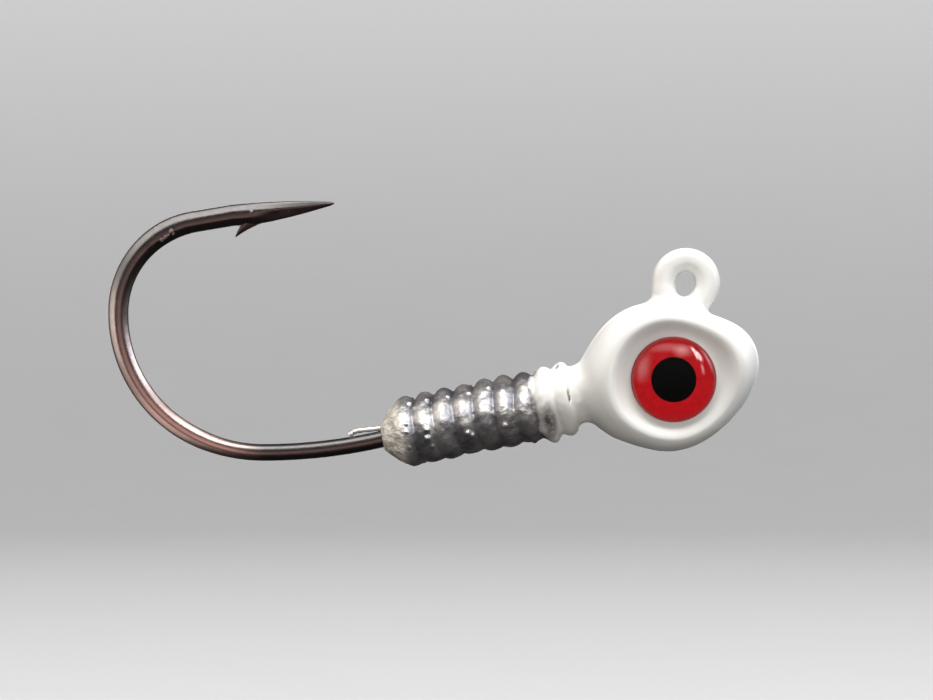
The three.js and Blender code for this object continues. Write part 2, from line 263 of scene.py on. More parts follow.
def turned(profile, side, segments=144):
    """An eye piece turned about the eye's axis: profile is radius and distance from the middle."""
    points, rings, faces = [], [], []
    for radius, height in profile:
        angles = circle(segments if radius else 1)
        rings.append([len(points) + j % len(angles) for j in range(segments)])
        for angle in angles:
            x = EYE_CENTRE[0] + radius * math.cos(angle)
            z = EYE_CENTRE[1] + radius * math.sin(angle)
            points.append((x, side * height, z))
    for lower, upper in zip(rings, rings[1:]):
        for j in range(segments):
            k = (j + 1) % segments
            corners = [lower[j], lower[k], upper[k], upper[j]]
            if side > 0:
                corners.reverse()
            faces.append(tuple(dict.fromkeys(corners)))
    return np.array(points), faces


def field_grid(field, low, high, step):
    """The field on a fine grid, worked out exactly only near the surface, and the grid's origin."""
    cell = COARSE_CELL * step
    coarse_axes = [np.arange(a, b + cell, cell) for a, b in zip(low, high)]
    coarse_points = np.stack(np.meshgrid(*coarse_axes, indexing="ij"), axis=-1)
    fine = field(coarse_points.reshape(-1, 3)).reshape(coarse_points.shape[:3])
    for axis in range(3):
        fine = np.repeat(fine, COARSE_CELL, axis=axis)
    index = np.argwhere(np.abs(fine) < NEAR_SURFACE * cell)
    origin = np.array(low)
    fine[tuple(index.T)] = field(origin + index * step)
    return fine, origin


def crossed_edges(values, axis):
    """The grid's edges along one axis that cross the surface: first node, place, way out."""
    near, far = [slice(None)] * 3, [slice(None)] * 3
    near[axis], far[axis] = slice(0, -1), slice(1, None)
    inside = values < 0
    start = np.argwhere(inside[tuple(near)] != inside[tuple(far)])
    beyond = start.copy()
    beyond[:, axis] += 1
    start_value, end_value = values[tuple(start.T)], values[tuple(beyond.T)]
    place = start.astype(float)
    place[:, axis] += start_value / (start_value - end_value)
    return start, place, start_value < 0


def cells_round(start, axis, strides):
    """The numbers of the four grid cells round each edge."""
    around = []
    for first, second in ((0, 0), (-1, 0), (-1, -1), (0, -1)):
        cell = start.copy()
        cell[:, (axis + 1) % 3] += first
        cell[:, (axis + 2) % 3] += second
        around.append(cell @ strides)
    return np.stack(around, axis=1)


def field_surface(field, box, step, polish=3):
    """Points and four-sided faces of the surface where the field is zero."""
    values, origin = field_grid(field, *box, step)
    strides = np.array([values.shape[1] * values.shape[2], values.shape[2], 1])
    cells, places, quads = [], [], []
    for axis in range(3):
        start, place, outward = crossed_edges(values, axis)
        around = cells_round(start, axis, strides)
        cells.append(around.T.ravel())
        places += [place] * 4
        quads.append(np.where(outward[:, None], around, around[:, ::-1]))
    used, index = np.unique(np.concatenate(cells), return_inverse=True)
    counts = np.bincount(index)
    places = np.concatenate(places)
    points = np.stack([np.bincount(index, places[:, k]) / counts for k in range(3)], axis=1)
    points = origin + points * step
    faces = np.searchsorted(used, np.concatenate(quads))
    for _ in range(polish):
        points = evened(points, faces)
        points = settled(field, points, step)
    return points, faces


def evened(points, faces):
    """Each point moved part of the way to the middle of its neighbours."""
    total, count = np.zeros_like(points), np.zeros(len(points))
    for k in range(4):
        here = faces[:, k]
        for there in (faces[:, (k + 1) % 4], faces[:, (k + 3) % 4]):
            for axis in range(3):
                total[:, axis] += np.bincount(here, points[there, axis], len(points))
            count += np.bincount(here, minlength=len(points))
    return 0.4 * points + 0.6 * total / count[:, None]


def settled(field, points, step):
    """Points moved onto the field's surface along its slope."""
    reach = 0.3 * step
    value = field(points)
    slope = np.zeros_like(points)
    for axis in range(3):
        shift = np.zeros(3)
        shift[axis] = reach
        slope[:, axis] = (field(points + shift) - field(points - shift)) / (2 * reach)
    steepness = np.maximum((slope**2).sum(axis=1), 0.05)
    move = -(value / steepness)[:, None] * slope
    return points + np.clip(move, -step, step)


# -------- hook


def travelled(start, *legs):
    """Stations (x, z, heading) along legs that follow one another, each a length and its turn."""
    stations = [start]
    for length, turn in legs:
        x, z, heading = stations[-1]
        count = max(2, round(length / WIRE_STEP))
        for i in range(1, count + 1):
            angle = turn * i / count
            chord = length * i / count * np.sinc(angle / TURN)
            toward = heading + angle / 2
            place = (x + chord * math.cos(toward), z + chord * math.sin(toward))
            stations.append((*place, heading + angle))
    return stations


def hidden_stations():
    """From the ring's free end round the line tie, down the leg and along the shank."""
    start = (TIE_R * math.cos(TIE_START), TIE_R * math.sin(TIE_START), TIE_START + math.pi / 2)
    round_tie = 3 * math.pi - TIE_START
    turn = math.pi / 2 - COLLAR_TILT
    tangent = LEG_BEND_R * math.tan(turn / 2)
    down_leg = (-CORNER[1] - tangent, 0)
    along_shank = (math.dist(CORNER, SHANK_START) - tangent, 0)
    legs = ((TIE_R * round_tie, round_tie), down_leg, (LEG_BEND_R * turn, -turn), along_shank)
    return travelled(start, *legs)


def bend_stations():
    """From the collar's rear face down the shank and round the bend to the spear."""
    legs = [(radius * math.radians(turn), -math.radians(turn)) for radius, turn in BEND]
    return travelled((*SHANK_START, math.pi + SHANK_TILT), *legs)


def section_radius(corners, angles, sharpness):
    """Distance from a wire's middle to its rounded many-sided surface, at each angle.

    Corners are (height, half width) from the top of the section down to its bottom. Angle 0 is
    the top, and both sides are alike.
    """
    top, bottom = corners[0][0], -corners[-1][0]
    up, out = np.cos(angles), np.abs(np.sin(angles))
    total = (np.maximum(up, 0) / top) ** sharpness
    total += (np.maximum(-up, 0) / bottom) ** sharpness
    for (h0, w0), (h1, w1) in zip(corners, corners[1:]):
        face_up, face_out = w1 - w0, h0 - h1
        reach = face_up * h0 + face_out * w0
        total += np.maximum(face_up * up + face_out * out, 0) ** sharpness / reach**sharpness
    return total ** (-1 / sharpness)


def wire_ring(x, z, heading, radii, angles):
    """One ring of surface points; angle 0 is on the left of the heading."""
    rise = radii * np.cos(angles)
    x, z = x - rise * math.sin(heading), z + rise * math.cos(heading)
    return np.stack([x, radii * np.sin(angles), z], axis=1)


def forged_corners(half_height):
    """The hammered bend: flat sides with a bevel to the outer and the inner edge."""
    return (
        (half_height, 0.12),
        (0.25 * half_height, FORGED_HALF_WIDTH),
        (-0.35 * half_height, FORGED_HALF_WIDTH),
        (-half_height, 0.1),
    )


def hook_rings():
    """The wire from its hidden ring to the needle point."""
    angles = circle(WIRE_SIDES)
    plain = np.full(WIRE_SIDES, WIRE_R)
    rings = [wire_ring(x, z, h, plain, angles) for x, z, h in hidden_stations()]
    along, heights = zip(*FORGED_HALF_HEIGHT)
    distance = 0.0
    before = SHANK_START
    for x, z, heading in bend_stations()[1:]:
        distance += math.dist(before, (x, z))
        before = (x, z)
        half_height = np.interp(distance, along, heights)
        forged = section_radius(forged_corners(half_height), angles, sharpness=11)
        share = smoothstep(FORGED_FROM, FORGED_TO, distance)
        # the path turns clockwise, so the outside of the bend is on its left
        rings.append(wire_ring(x, z, heading, plain * (1 - share) + forged * share, angles))
    for share in np.linspace(0, 1, SPEAR_STEPS + 1)[1:]:
        rings.append(spear_ring(share, angles))
    return np.array(rings)


def blade_station(left, right, share):
    """The station midway between two curves, the first on its left, and half their distance."""
    left, right = bezier(left, share), bezier(right, share)
    middle = (left + right) / 2
    heading = math.atan2(right[0] - left[0], left[1] - right[1])
    return (*middle, heading), np.linalg.norm(left - right) / 2


def spear_ring(share, angles):
    """A section of the needle point: a rounded back and two ground faces to a keen underside."""
    station, half_height = blade_station(SPEAR_TOP, SPEAR_UNDERSIDE, share)
    blunt = math.sqrt(1 - 0.9 * max(0, (share - 0.96) / 0.04) ** 2)
    half_height *= blunt
    half_width = FORGED_HALF_WIDTH * (1 - 0.85 * share**1.4) * blunt
    ground = smoothstep(0.12, 0.5, share)
    corners = (
        (half_height, 0.25 * half_width),
        ((0.34 - 0.3 * share) * half_height, half_width),
        (-0.34 * half_height, half_width * (1 - 0.45 * ground)),
        (-half_height, half_width * (0.18 - 0.12 * ground)),
    )
    return wire_ring(*station, section_radius(corners, angles, sharpness=14), angles)


def barb_rings():
    """The sliver sliced from the underside and bent down, thin along its front edge."""
    angles = circle(BARB_SIDES)
    rings = []
    for share in np.linspace(0, 1, BARB_STEPS):
        station, half_height = blade_station(BARB_FRONT, BARB_BACK, share)
        half_width = BARB_HALF_WIDTH * (1 - 0.75 * share**1.2)
        # this path runs down to the barb's tip, so its keen front edge is on its left
        corners = (
            (half_height, 0.05 * half_width),
            (0.1 * half_height, 0.6 * half_width),
            (-0.55 * half_height, half_width),
            (-half_height, 0.6 * half_width),
        )
        rings.append(wire_ring(*station, section_radius(corners, angles, sharpness=12), angles))
    return np.array(rings)


# Places where the plating has lifted, on the camera's side: x, z and size
SCARS = (
    (-42.46, 3.58, 0.17), (-42.2, 3.8, 0.15), (-41.95, 3.95, 0.1), (-41.7, 4.3, 0.17),
    (-41.55, 4.05, 0.12), (-43.6, 2.98, 0.07), (-39.4, 5.38, 0.07), (-35.2, 5.85, 0.09),
    (-33.1, 5.92, 0.07),
)


def scarred(points):
    """The hook's points with the lifted plating raised, and how much each was."""
    lift = np.zeros(len(points))
    facing = smoothstep(0.25, 0.45, -points[:, 1])
    for x, z, size in SCARS:
        away = ((points[:, 0] - x) ** 2 + (points[:, 2] - z) ** 2) / size**2
        lift = np.maximum(lift, np.exp(-away) * facing)
    return points - np.outer(lift * SCAR_HEIGHT, (0, 1, 0)), lift


def make_hook():
    points, faces = joined(loft(hook_rings()), loft(barb_rings()))
    points, lift = scarred(points)
    piece = add_piece("hook", points, faces, black_nickel(), 50)
    mark_points(piece, "scar", lift)
    return piece


# -------- collar shape


def collar_coordinates(points):
    """Distance along the collar's axis, angle around it and distance from it.

    Angle 0 is the top and 90 degrees is the camera's side.
    """
    x, z = points[:, 0] - COLLAR_ORIGIN[0], points[:, 2] - COLLAR_ORIGIN[1]
    along = x * math.cos(COLLAR_TILT) + z * math.sin(COLLAR_TILT)
    rise = z * math.cos(COLLAR_TILT) - x * math.sin(COLLAR_TILT)
    rise = rise - NECK_RISE * smoothstep(NECK_RISE_FROM, NECK_RISE_TO, along)
    return along, np.arctan2(-points[:, 1], rise), np.hypot(rise, points[:, 1])


PROFILE_ALONG = np.arange(-1.4, 22, 0.02)


def ring_height(along):
    """0 in a groove and 1 on a ring's round crest."""
    phase = (along - RING_FIRST) / RING_PITCH
    phase = phase - np.round(phase)
    return np.cos(phase * math.pi) ** 0.75


def profile_table(height):
    """The collar's plain radius at each of PROFILE_ALONG, for that height of ring there."""
    first, last = RING_FIRST, RING_FIRST + (RING_COUNT - 1) * RING_PITCH
    ringed = TROUGH_R + (CREST_R - TROUGH_R) * height
    cone = np.interp(PROFILE_ALONG, *zip(*REAR_CONE))
    neck = np.interp(PROFILE_ALONG, *zip(*NECK))
    radius = np.where(PROFILE_ALONG < first, np.minimum(cone, CREST_R), ringed)
    radius = np.where(PROFILE_ALONG > last + 0.3 * RING_PITCH, neck, radius)
    return softened(radius, 4)


PLAIN_PROFILE = profile_table(ring_height(PROFILE_ALONG))
CREST_PROFILE = profile_table(np.ones_like(PROFILE_ALONG))
SMOOTH_PROFILE = softened(PLAIN_PROFILE, 16)

# Dents, wrinkles, crooked rings and the paint's ragged edge, drawn in this order
slow_waves = ripples(10, 0.9, 0.04)
fine_waves = ripples(36, 4.5, 0.014)
axis_waves = ripples(8, 0.8, 0.09)
edge_waves = ripples(14, 2.0, 0.2)


def lead_radius(along, around):
    """The bare collar's radius: soft rings with a parting line, their grooves deepest on top."""
    bow = 0.22 * np.maximum(np.sin(around), 0) ** 2 + 0.1 * np.sin(around) ** 2
    shifted = along + bow + axis_waves(0.6 * along, around) - 0.05
    plain = np.interp(shifted, PROFILE_ALONG, PLAIN_PROFILE)
    crest = np.interp(shifted, PROFILE_ALONG, CREST_PROFILE)
    depth = 0.7 + 0.3 * np.cos(around)
    depth = depth + (1 - depth) * smoothstep(12.6, 13.2, along)
    radius = crest - depth * (crest - plain)
    on_rings = smoothstep(-0.2, 0.8, along) * (1 - smoothstep(14.6, 15.6, along))
    radius = radius + on_rings * slow_waves(along, around)
    radius = radius + fine_waves(along, around) * (1.6 - 0.6 * on_rings)
    parting = np.exp(-((np.sin(around) / 0.035) ** 2))
    radius = radius + 0.05 * parting * on_rings
    sag = np.exp(-(((along - SAG_AT) / 0.6) ** 2)) * np.maximum(-np.cos(around), 0) ** 2
    return radius + SAG * sag


# Patches thin or bare of paint: distance along, degrees around, half length, half angle, depth
BARE_PATCHES = (
    (12.5, 124, 0.6, 36, 0.2),
    (14.32, 88, 0.07, 11, 0.36),
    (13.9, 13, 0.16, 9, 0.3),
    (13.4, 215, 0.3, 20, 0.2),
    (12.9, 300, 0.35, 22, 0.22),
    (14.9, 262, 0.12, 9, 0.3),
)


def paint_thickness(along, around):
    """The coat's thickness over the collar; below zero there is bare lead."""
    edge = COAT_EDGE - 0.9 * np.maximum(np.sin(around), 0) + edge_waves(along, around)
    cover = smoothstep(edge - 0.6, edge + 1.0, along)
    thickness = BARE + (COAT - BARE) * cover
    for middle, degrees, half_length, half_angle, depth in BARE_PATCHES:
        turn = np.degrees(around) - degrees
        turn = (turn + 180) % 360 - 180
        away = ((along - middle) / half_length) ** 2 + (turn / half_angle) ** 2
        thickness = thickness - depth * np.exp(-(away**2))
    return np.maximum(thickness, DEEPEST)


def coat_radius(along, around):
    """The painted collar's radius; the paint softens the rings under it."""
    thickness = paint_thickness(along, around)
    bare = lead_radius(along, around)
    smooth = np.interp(along, PROFILE_ALONG, SMOOTH_PROFILE)
    flow = 0.55 * smoothstep(0.05, 0.2, thickness) * smoothstep(12.4, 14.6, along)
    return bare + flow * (smooth - bare) + thickness


# Beads of lead seen on the camera's side: distance along, height above the axis, radius
SEEN_BEADS = (
    (2.58, -0.15, 0.24), (2.48, -0.83, 0.26), (2.75, -1.59, 0.2), (0.94, -1.31, 0.17),
    (5.75, -1.07, 0.24), (6.07, -1.38, 0.22), (8.86, -1.07, 0.23), (9.1, -2.2, 0.13),
    (0.97, 0.0, 0.13), (1.03, 0.66, 0.17), (1.92, 2.0, 0.15), (1.58, 2.42, 0.22),
    (3.02, 2.35, 0.23), (4.77, 2.34, 0.2), (6.46, 2.32, 0.2), (8.12, 2.32, 0.22),
)


def bead_list():
    """Every bead's middle and radius, the seen ones and seeded ones on the far side."""
    beads = []
    for along, height, radius in SEEN_BEADS:
        beads.append((along, math.acos(height / CREST_R), radius))
    for _ in range(26):
        around = random.uniform(math.pi * 0.97, math.pi * 2.03)
        ring = random.integers(0, RING_COUNT - 2)
        along = RING_FIRST + RING_PITCH * (ring + random.uniform(-0.3, 0.45))
        beads.append((along, around, random.uniform(0.12, 0.25)))
    return beads


BEADS = bead_list()


def bead_field(along, around, out):
    """Signed distance to the nearest bead, each sunk to its middle in the collar."""
    nearest = np.full_like(along, 9.0)
    up, side = out * np.cos(around), out * np.sin(around)
    for middle, angle, radius in BEADS:
        depth = float(lead_radius(np.array([middle]), np.array([angle]))[0]) - 0.35 * radius
        away_up, away_side = up - depth * math.cos(angle), side - depth * math.sin(angle)
        gap = np.sqrt((along - middle) ** 2 + away_up**2 + away_side**2)
        nearest = np.minimum(nearest, gap - radius)
    return nearest


def collar_field(points):
    """The bare collar, from its rear face to inside the head."""
    along, around, out = collar_coordinates(points)
    body = 0.85 * (out - lead_radius(along, around))
    body = np.maximum(body, REAR_CONE[0][0] - along)
    body = np.maximum(body, along - CASTING_END)
    return union(body, bead_field(along, around, out), BEAD_FILLET)


# -------- head shape


def outline_table():
    """The head outline's distance from HEAD_CENTRE at evenly spaced angles, as a smooth curve."""
    corners = np.array(HEAD_OUTLINE) - np.array(HEAD_CENTRE)
    angles = np.arctan2(corners[:, 1], corners[:, 0]) % TURN
    order = np.argsort(angles)
    even = circle(720)
    return even, periodic_spline(angles[order], np.linalg.norm(corners, axis=1)[order], even)


def periodic_spline(known, values, wanted):
    """A closed cubic spline through values known at rising angles."""
    gaps = np.diff(np.append(known, known[0] + TURN))
    rises = np.diff(np.append(values, values[0])) / gaps
    count = len(known)
    system, target = np.zeros((count, count)), np.zeros(count)
    for i in range(count):
        before = (i - 1) % count
        system[i, before] = gaps[i]
        system[i, i] = 2 * (gaps[before] + gaps[i])
        system[i, (i + 1) % count] = gaps[before]
        target[i] = 3 * (gaps[i] * rises[before] + gaps[before] * rises[i])
    slopes = np.linalg.solve(system, target)
    start = (np.searchsorted(known, wanted, side="right") - 1) % count
    end = (start + 1) % count
    share = ((wanted - known[start]) % TURN) / gaps[start]
    keep = 1 - share
    return (
        values[start] * (1 + 2 * share) * keep**2
        + values[end] * (1 + 2 * keep) * share**2
        + slopes[start] * gaps[start] * share * keep**2
        - slopes[end] * gaps[start] * keep * share**2
    )


OUTLINE_ANGLES, OUTLINE_RADII = outline_table()


def head_body_field(points):
    """The head without its dishes: the outline swelled to a rounded body."""
    x, z = points[:, 0] - HEAD_CENTRE[0], points[:, 2] - HEAD_CENTRE[1]
    out, aside = np.hypot(x, z), np.abs(points[:, 1])
    edge = np.interp(np.arctan2(z, x), OUTLINE_ANGLES, OUTLINE_RADII, period=TURN)
    u = out / edge + 1e-6
    v = aside / HEAD_HALF_THICKNESS + 1e-6
    n = HEAD_FULLNESS
    level = (u**n + v**n) ** (1 / n)
    slope = np.hypot(u ** (n - 1) / edge, v ** (n - 1) / HEAD_HALF_THICKNESS) * level ** (1 - n)
    return np.maximum((level - 1) / slope, -5)


def dish_field(points):
    """The room over each eye: a flat floor that curls up to a steep wall."""
    aside = np.abs(points[:, 1])
    lean = np.clip((aside - SOCKET_FLOOR) / DISH_RISE, 0, 1.5)
    x = points[:, 0] - EYE_CENTRE[0] - lean * (DISH_CENTRE[0] - EYE_CENTRE[0])
    z = points[:, 2] - EYE_CENTRE[1] - lean * (DISH_CENTRE[1] - EYE_CENTRE[1])
    share = np.maximum(np.hypot(x, z) - DISH_FLOOR_R, 0) / (DISH_RIM_R - DISH_FLOOR_R)
    wall = SOCKET_FLOOR + DISH_RISE * share**2
    steepness = 2 * DISH_RISE * np.minimum(share, 1.6) / (DISH_RIM_R - DISH_FLOOR_R)
    return (wall - aside) / np.hypot(1, steepness)


def loop_field(points):
    """The coated line tie: a band between the outer circle and the leaning oval hole."""
    x, z = points[:, 0], points[:, 2]
    from_outer = LOOP_R - np.hypot(x - LOOP_CENTRE[0], z - LOOP_CENTRE[1])
    along_hole = z * math.cos(HOLE_LEAN) + x * math.sin(HOLE_LEAN)
    across_hole = x * math.cos(HOLE_LEAN) - z * math.sin(HOLE_LEAN)
    level = np.hypot(across_hole / HOLE_HALF_SIZE[0], along_hole / HOLE_HALF_SIZE[1]) + 1e-6
    from_hole = np.hypot(x, z) * (1 - 1 / level)
    band = np.maximum(from_outer + from_hole, 0.8)
    u = np.abs(from_outer - from_hole) / band
    v = np.abs(points[:, 1]) / LOOP_HALF_THICKNESS
    n = LOOP_FULLNESS
    level = ((u + 1e-6) ** n + (v + 1e-6) ** n) ** (1 / n)
    return (level - 1) * 0.5 * np.minimum(band, 2 * LOOP_HALF_THICKNESS)


def bar_field(points, start, end, radius):
    """A round-ended bar in the middle plane."""
    start, end = np.array((start[0], 0, start[1])), np.array((end[0], 0, end[1]))
    span = end - start
    share = np.clip((points - start) @ span / (span @ span), 0, 1)
    return np.linalg.norm(points - start - share[:, None] * span, axis=1) - radius


def coat_outside(points):
    """The painted surface of head, neck, sleeve and line tie."""
    along, around, out = collar_coordinates(points)
    sleeve = 0.85 * (out - coat_radius(along, around))
    sleeve = np.maximum(sleeve, along - SLEEVE_END)
    body = union(head_body_field(points), sleeve, NECK_FILLET)
    leg = bar_field(points, LEG_TOP, LEG_FOOT, LEG_R)
    tie = union(loop_field(points), leg, LEG_FILLET)
    body = union(body, tie, LOOP_FILLET)
    return cut(body, dish_field(points), DISH_SOFTNESS)


def wire_room(points):
    """The room the hidden wire takes up inside the casting, and a little behind it."""
    behind = 1.92
    start = (SHANK_START[0] - behind, SHANK_START[1] - behind * math.tan(COLLAR_TILT))
    shank = bar_field(points, start, CORNER, WIRE_R)
    leg = bar_field(points, CORNER, (-TIE_R, 0), WIRE_R)
    return union(shank, leg, 1.6)


def coat_field(points):
    """The skin between the painted surface and its inner face, with its ragged end."""
    outside = coat_outside(points)
    along, around, _ = collar_coordinates(points)
    stop = COAT_EDGE - 1.5 + 0.5 * edge_waves(along, around) - along
    return np.maximum(np.maximum(outside, -outside - SKIN), 0.8 * stop)


def casting_field(points):
    """The lead under the skin, with the wire's room taken out."""
    body = union(head_body_field(points) + SKIN + UNDER_SKIN, collar_field(points), 0.3)
    body = cut(body, dish_field(points) - SKIN - UNDER_SKIN, DISH_SOFTNESS)
    return np.maximum(body, -wire_room(points))


def make_casting():
    points, faces = field_surface(casting_field, CASTING_BOX, CASTING_STEP)
    piece = add_piece("lead_casting", points, faces, bare_lead())
    along, _, out = collar_coordinates(points)
    mark_points(piece, "height", np.clip((out - TROUGH_R) / (CREST_R - TROUGH_R), 0, 1))
    mark_points(piece, "chalk", 1 - smoothstep(0.1, 1.1, along))
    return piece


def make_coat():
    points, faces = field_surface(coat_field, COAT_BOX, COAT_STEP)
    piece = add_piece("powder_coat", points, faces, white_coat())
    along, around, _ = collar_coordinates(points)
    thin = 1 - smoothstep(-0.02, 0.17, paint_thickness(along, around))
    mark_points(piece, "thin", np.where(along < WHOLE_FROM, thin, 0))
    return piece


# -------- keeper wire


def make_keeper():
    """The thin bright stub lying on the shank, uneven and thickest near its free end."""
    corners = range(len(KEEPER_ROUTE))
    dense = np.linspace(0, corners[-1], KEEPER_STEPS)
    x, z = (softened(np.interp(dense, corners, values), 4) for values in zip(*KEEPER_ROUTE))
    rings = []
    for i in range(KEEPER_STEPS):
        j, k = max(i - 1, 0), min(i + 1, KEEPER_STEPS - 1)
        heading = math.atan2(z[k] - z[j], x[k] - x[j])
        rounded = math.sqrt(1 - (1 - min(i / 4, 1)) ** 2 * 0.85)
        uneven = 1 + 0.1 * math.cos(i * 0.55) + 0.12 * math.exp(-((i / 9) ** 2))
        radii = np.full(KEEPER_SIDES, KEEPER_R * rounded * uneven)
        rings.append(wire_ring(x[i], z[i], heading, radii, circle(KEEPER_SIDES)))
    points, faces = loft(np.array(rings))
    return add_piece("keeper_wire", points, faces, keeper_steel())


# -------- eyes


def layer_heights(layer):
    """A layer's bottom and top, as distances from the middle plane."""
    return [SOCKET_FLOOR + height for height in layer]


def rounded_disc(radius, layer, edge):
    """Profile of a disc with a rounded rim."""
    bottom, top = layer_heights(layer)
    profile = [(0, bottom), (radius * 0.5, bottom), (radius - edge, bottom)]
    for angle in np.linspace(-math.pi / 2, math.pi / 2, 9):
        height = (bottom + top) / 2 + (top - bottom) / 2 * math.sin(angle)
        profile.append((radius - edge + edge * math.cos(angle), height))
    for share in (0.95, 0.8, 0.6, 0.4, 0.2):
        profile.append(((radius - edge) * share, top))
    return profile + [(0, top)]


def dome_profile(layer, edge):
    """A cast drop of resin: a shallow ball cap that curls over steeply at its rim."""
    bottom, top = layer_heights(layer)
    skirt = top - (DOME_R - math.sqrt(DOME_R**2 - EYE_R**2))
    flat = EYE_R - edge
    profile = [(0, bottom), (EYE_R * 0.5, bottom), (flat, bottom)]
    for share in np.linspace(0.02, 1, 9):
        profile.append((flat + edge * math.sin(share * 1.5), bottom + share * (skirt - bottom)))
    for share in np.linspace(0.995, 0.0, 56)[:-1]:
        radius = EYE_R * share
        cap = top - (DOME_R - math.sqrt(DOME_R**2 - radius**2))
        profile.append((radius, cap - 0.1 * share**24))
    return profile + [(0, top)]


def make_eye(side_name, side):
    """One stick-on eye, from its pad to its dome."""
    layers = {
        "adhesive": (rounded_disc(PAD_R, PAD_LAYER, 0.08), "eye_adhesive", foam),
        "iris_disc": (rounded_disc(EYE_R - 0.03, IRIS_LAYER, 0.03), "red_iris", red_iris),
        "pupil_disc": (rounded_disc(PUPIL_R, PUPIL_LAYER, 0.02), "black_pupil", black_ink),
        "dome": (dome_profile(DOME_LAYER, 0.04), "clear_dome", clear_resin),
    }
    made = {}
    for layer, (profile, slot, material) in layers.items():
        points, faces = turned(profile, side)
        made[layer] = add_piece(f"{side_name}_eye_{layer}", points, faces, material(), 40)
    return made


# -------- materials


class Tree:
    """A short way to write the shader nodes of a material, a lamp or the world."""

    def __init__(self, owner):
        owner.use_nodes = True
        self.tree = owner.node_tree

    def add(self, kind, **settings):
        node = self.tree.nodes.new("ShaderNode" + kind)
        for key, value in settings.items():
            setattr(node, key, value)
        return node

    def link(self, source, target):
        self.tree.links.new(source, target)

    def split(self, source):
        """The three parts of a vector, by number or by letter."""
        node = self.add("SeparateXYZ")
        self.link(source, node.inputs[0])
        return node.outputs

    def remap(self, source, low, high, to_low=0.0, to_high=1.0, curve="SMOOTHSTEP"):
        node = self.add("MapRange", interpolation_type=curve)
        for socket, value in zip(range(1, 5), (low, high, to_low, to_high)):
            node.inputs[socket].default_value = value
        self.link(source, node.inputs[0])
        return node.outputs[0]

    def math(self, operation, *values):
        node = self.add("Math", operation=operation)
        for socket, value in enumerate(values):
            if isinstance(value, (int, float)):
                node.inputs[socket].default_value = value
            else:
                self.link(value, node.inputs[socket])
        return node.outputs[0]


class Material(Tree):
    """A material with one shader, its noise patterns and its bumps."""

    def __init__(self, name):
        self.material = bpy.data.materials.get(name) or bpy.data.materials.new(name)
        super().__init__(self.material)
        self.tree.nodes.clear()
        self.shader = self.add("BsdfPrincipled")
        self.output = self.add("OutputMaterial")
        self.link(self.shader.outputs["BSDF"], self.output.inputs["Surface"])

    def place(self):
        """Object coordinates in millimetres."""
        coordinates = self.add("TexCoord")
        mapping = self.add("Mapping")
        mapping.inputs["Scale"].default_value = [1 / MM] * 3
        self.link(coordinates.outputs["Object"], mapping.inputs["Vector"])
        return mapping.outputs["Vector"]

    def texture(self, kind, **values):
        node = self.add(kind)
        for key, value in values.items():
            node.inputs[key].default_value = value
        self.link(self.place(), node.inputs["Vector"])
        return node.outputs

    def noise(self, scale, detail=3, roughness=0.5):
        return self.texture("TexNoise", Scale=scale, Detail=detail, Roughness=roughness)["Fac"]

    def spots(self, scale):
        return self.texture("TexVoronoi", Scale=scale)["Distance"]

    def mix(self, share, first, second):
        node = self.add("Mix", data_type="RGBA")
        self.link(share, node.inputs[0])
        for socket, value in ((6, first), (7, second)):
            if isinstance(value, tuple):
                node.inputs[socket].default_value = (*value, 1)
            else:
                self.link(value, node.inputs[socket])
        return node.outputs[2]

    def attribute(self, name):
        return self.add("Attribute", attribute_name=name).outputs["Fac"]

    def colour(self, source):
        self.link(source, self.shader.inputs["Base Color"])

    def roughness(self, source, low, high):
        self.link(self.remap(source, 0.25, 0.75, low, high), self.shader.inputs["Roughness"])

    def bump(self, source, height):
        """A bump whose height is in millimetres."""
        node = self.add("Bump")
        node.inputs["Strength"].default_value = 1
        node.inputs["Distance"].default_value = height * MM
        previous = self.shader.inputs["Normal"]
        if previous.is_linked:
            self.link(previous.links[0].from_socket, node.inputs["Normal"])
        self.link(source, node.inputs["Height"])
        self.link(node.outputs["Normal"], previous)

    def set(self, **values):
        for key, value in values.items():
            self.shader.inputs[key.replace("_", " ")].default_value = value


def black_nickel():
    """Dark glossy plating, paler low on the bend as a painted reflection, bright where it has lifted.
    """
    m = Material("black_nickel")
    place = m.split(m.place())
    # Painted reflection: low on the bend the colour turns pale rose, standing in for reflected light.
    uneven = m.math("MULTIPLY", m.noise(0.5, 4), 4)
    low = m.remap(m.math("ADD", place["Z"], uneven), 5, -12)
    bend = m.remap(m.math("ADD", place["X"], uneven), -31, -37)
    base = m.mix(m.math("MULTIPLY", low, bend), (0.11, 0.105, 0.105), (0.55, 0.42, 0.39))
    pits = m.remap(m.spots(2.2), 0.0, 0.14, 1, 0)
    rare = m.remap(m.noise(0.32, 2), 0.6, 0.7)
    worn = m.mix(m.math("MULTIPLY", pits, rare), base, (0.6, 0.57, 0.54))
    ragged = m.math("MULTIPLY", m.attribute("scar"), m.remap(m.noise(6.0, 3), 0.3, 0.6, 0.6, 1.5))
    flaked = m.remap(ragged, 0.3, 0.5)
    m.colour(m.mix(flaked, worn, (0.3, 0.28, 0.25)))
    m.link(m.remap(flaked, 0, 1, 1, 0.3), m.shader.inputs["Metallic"])
    m.roughness(m.noise(2.2, 5, 0.6), 0.28, 0.36)
    m.bump(m.noise(9, 3), 0.003)
    m.bump(m.noise(1.4, 2), 0.015)
    return m.material


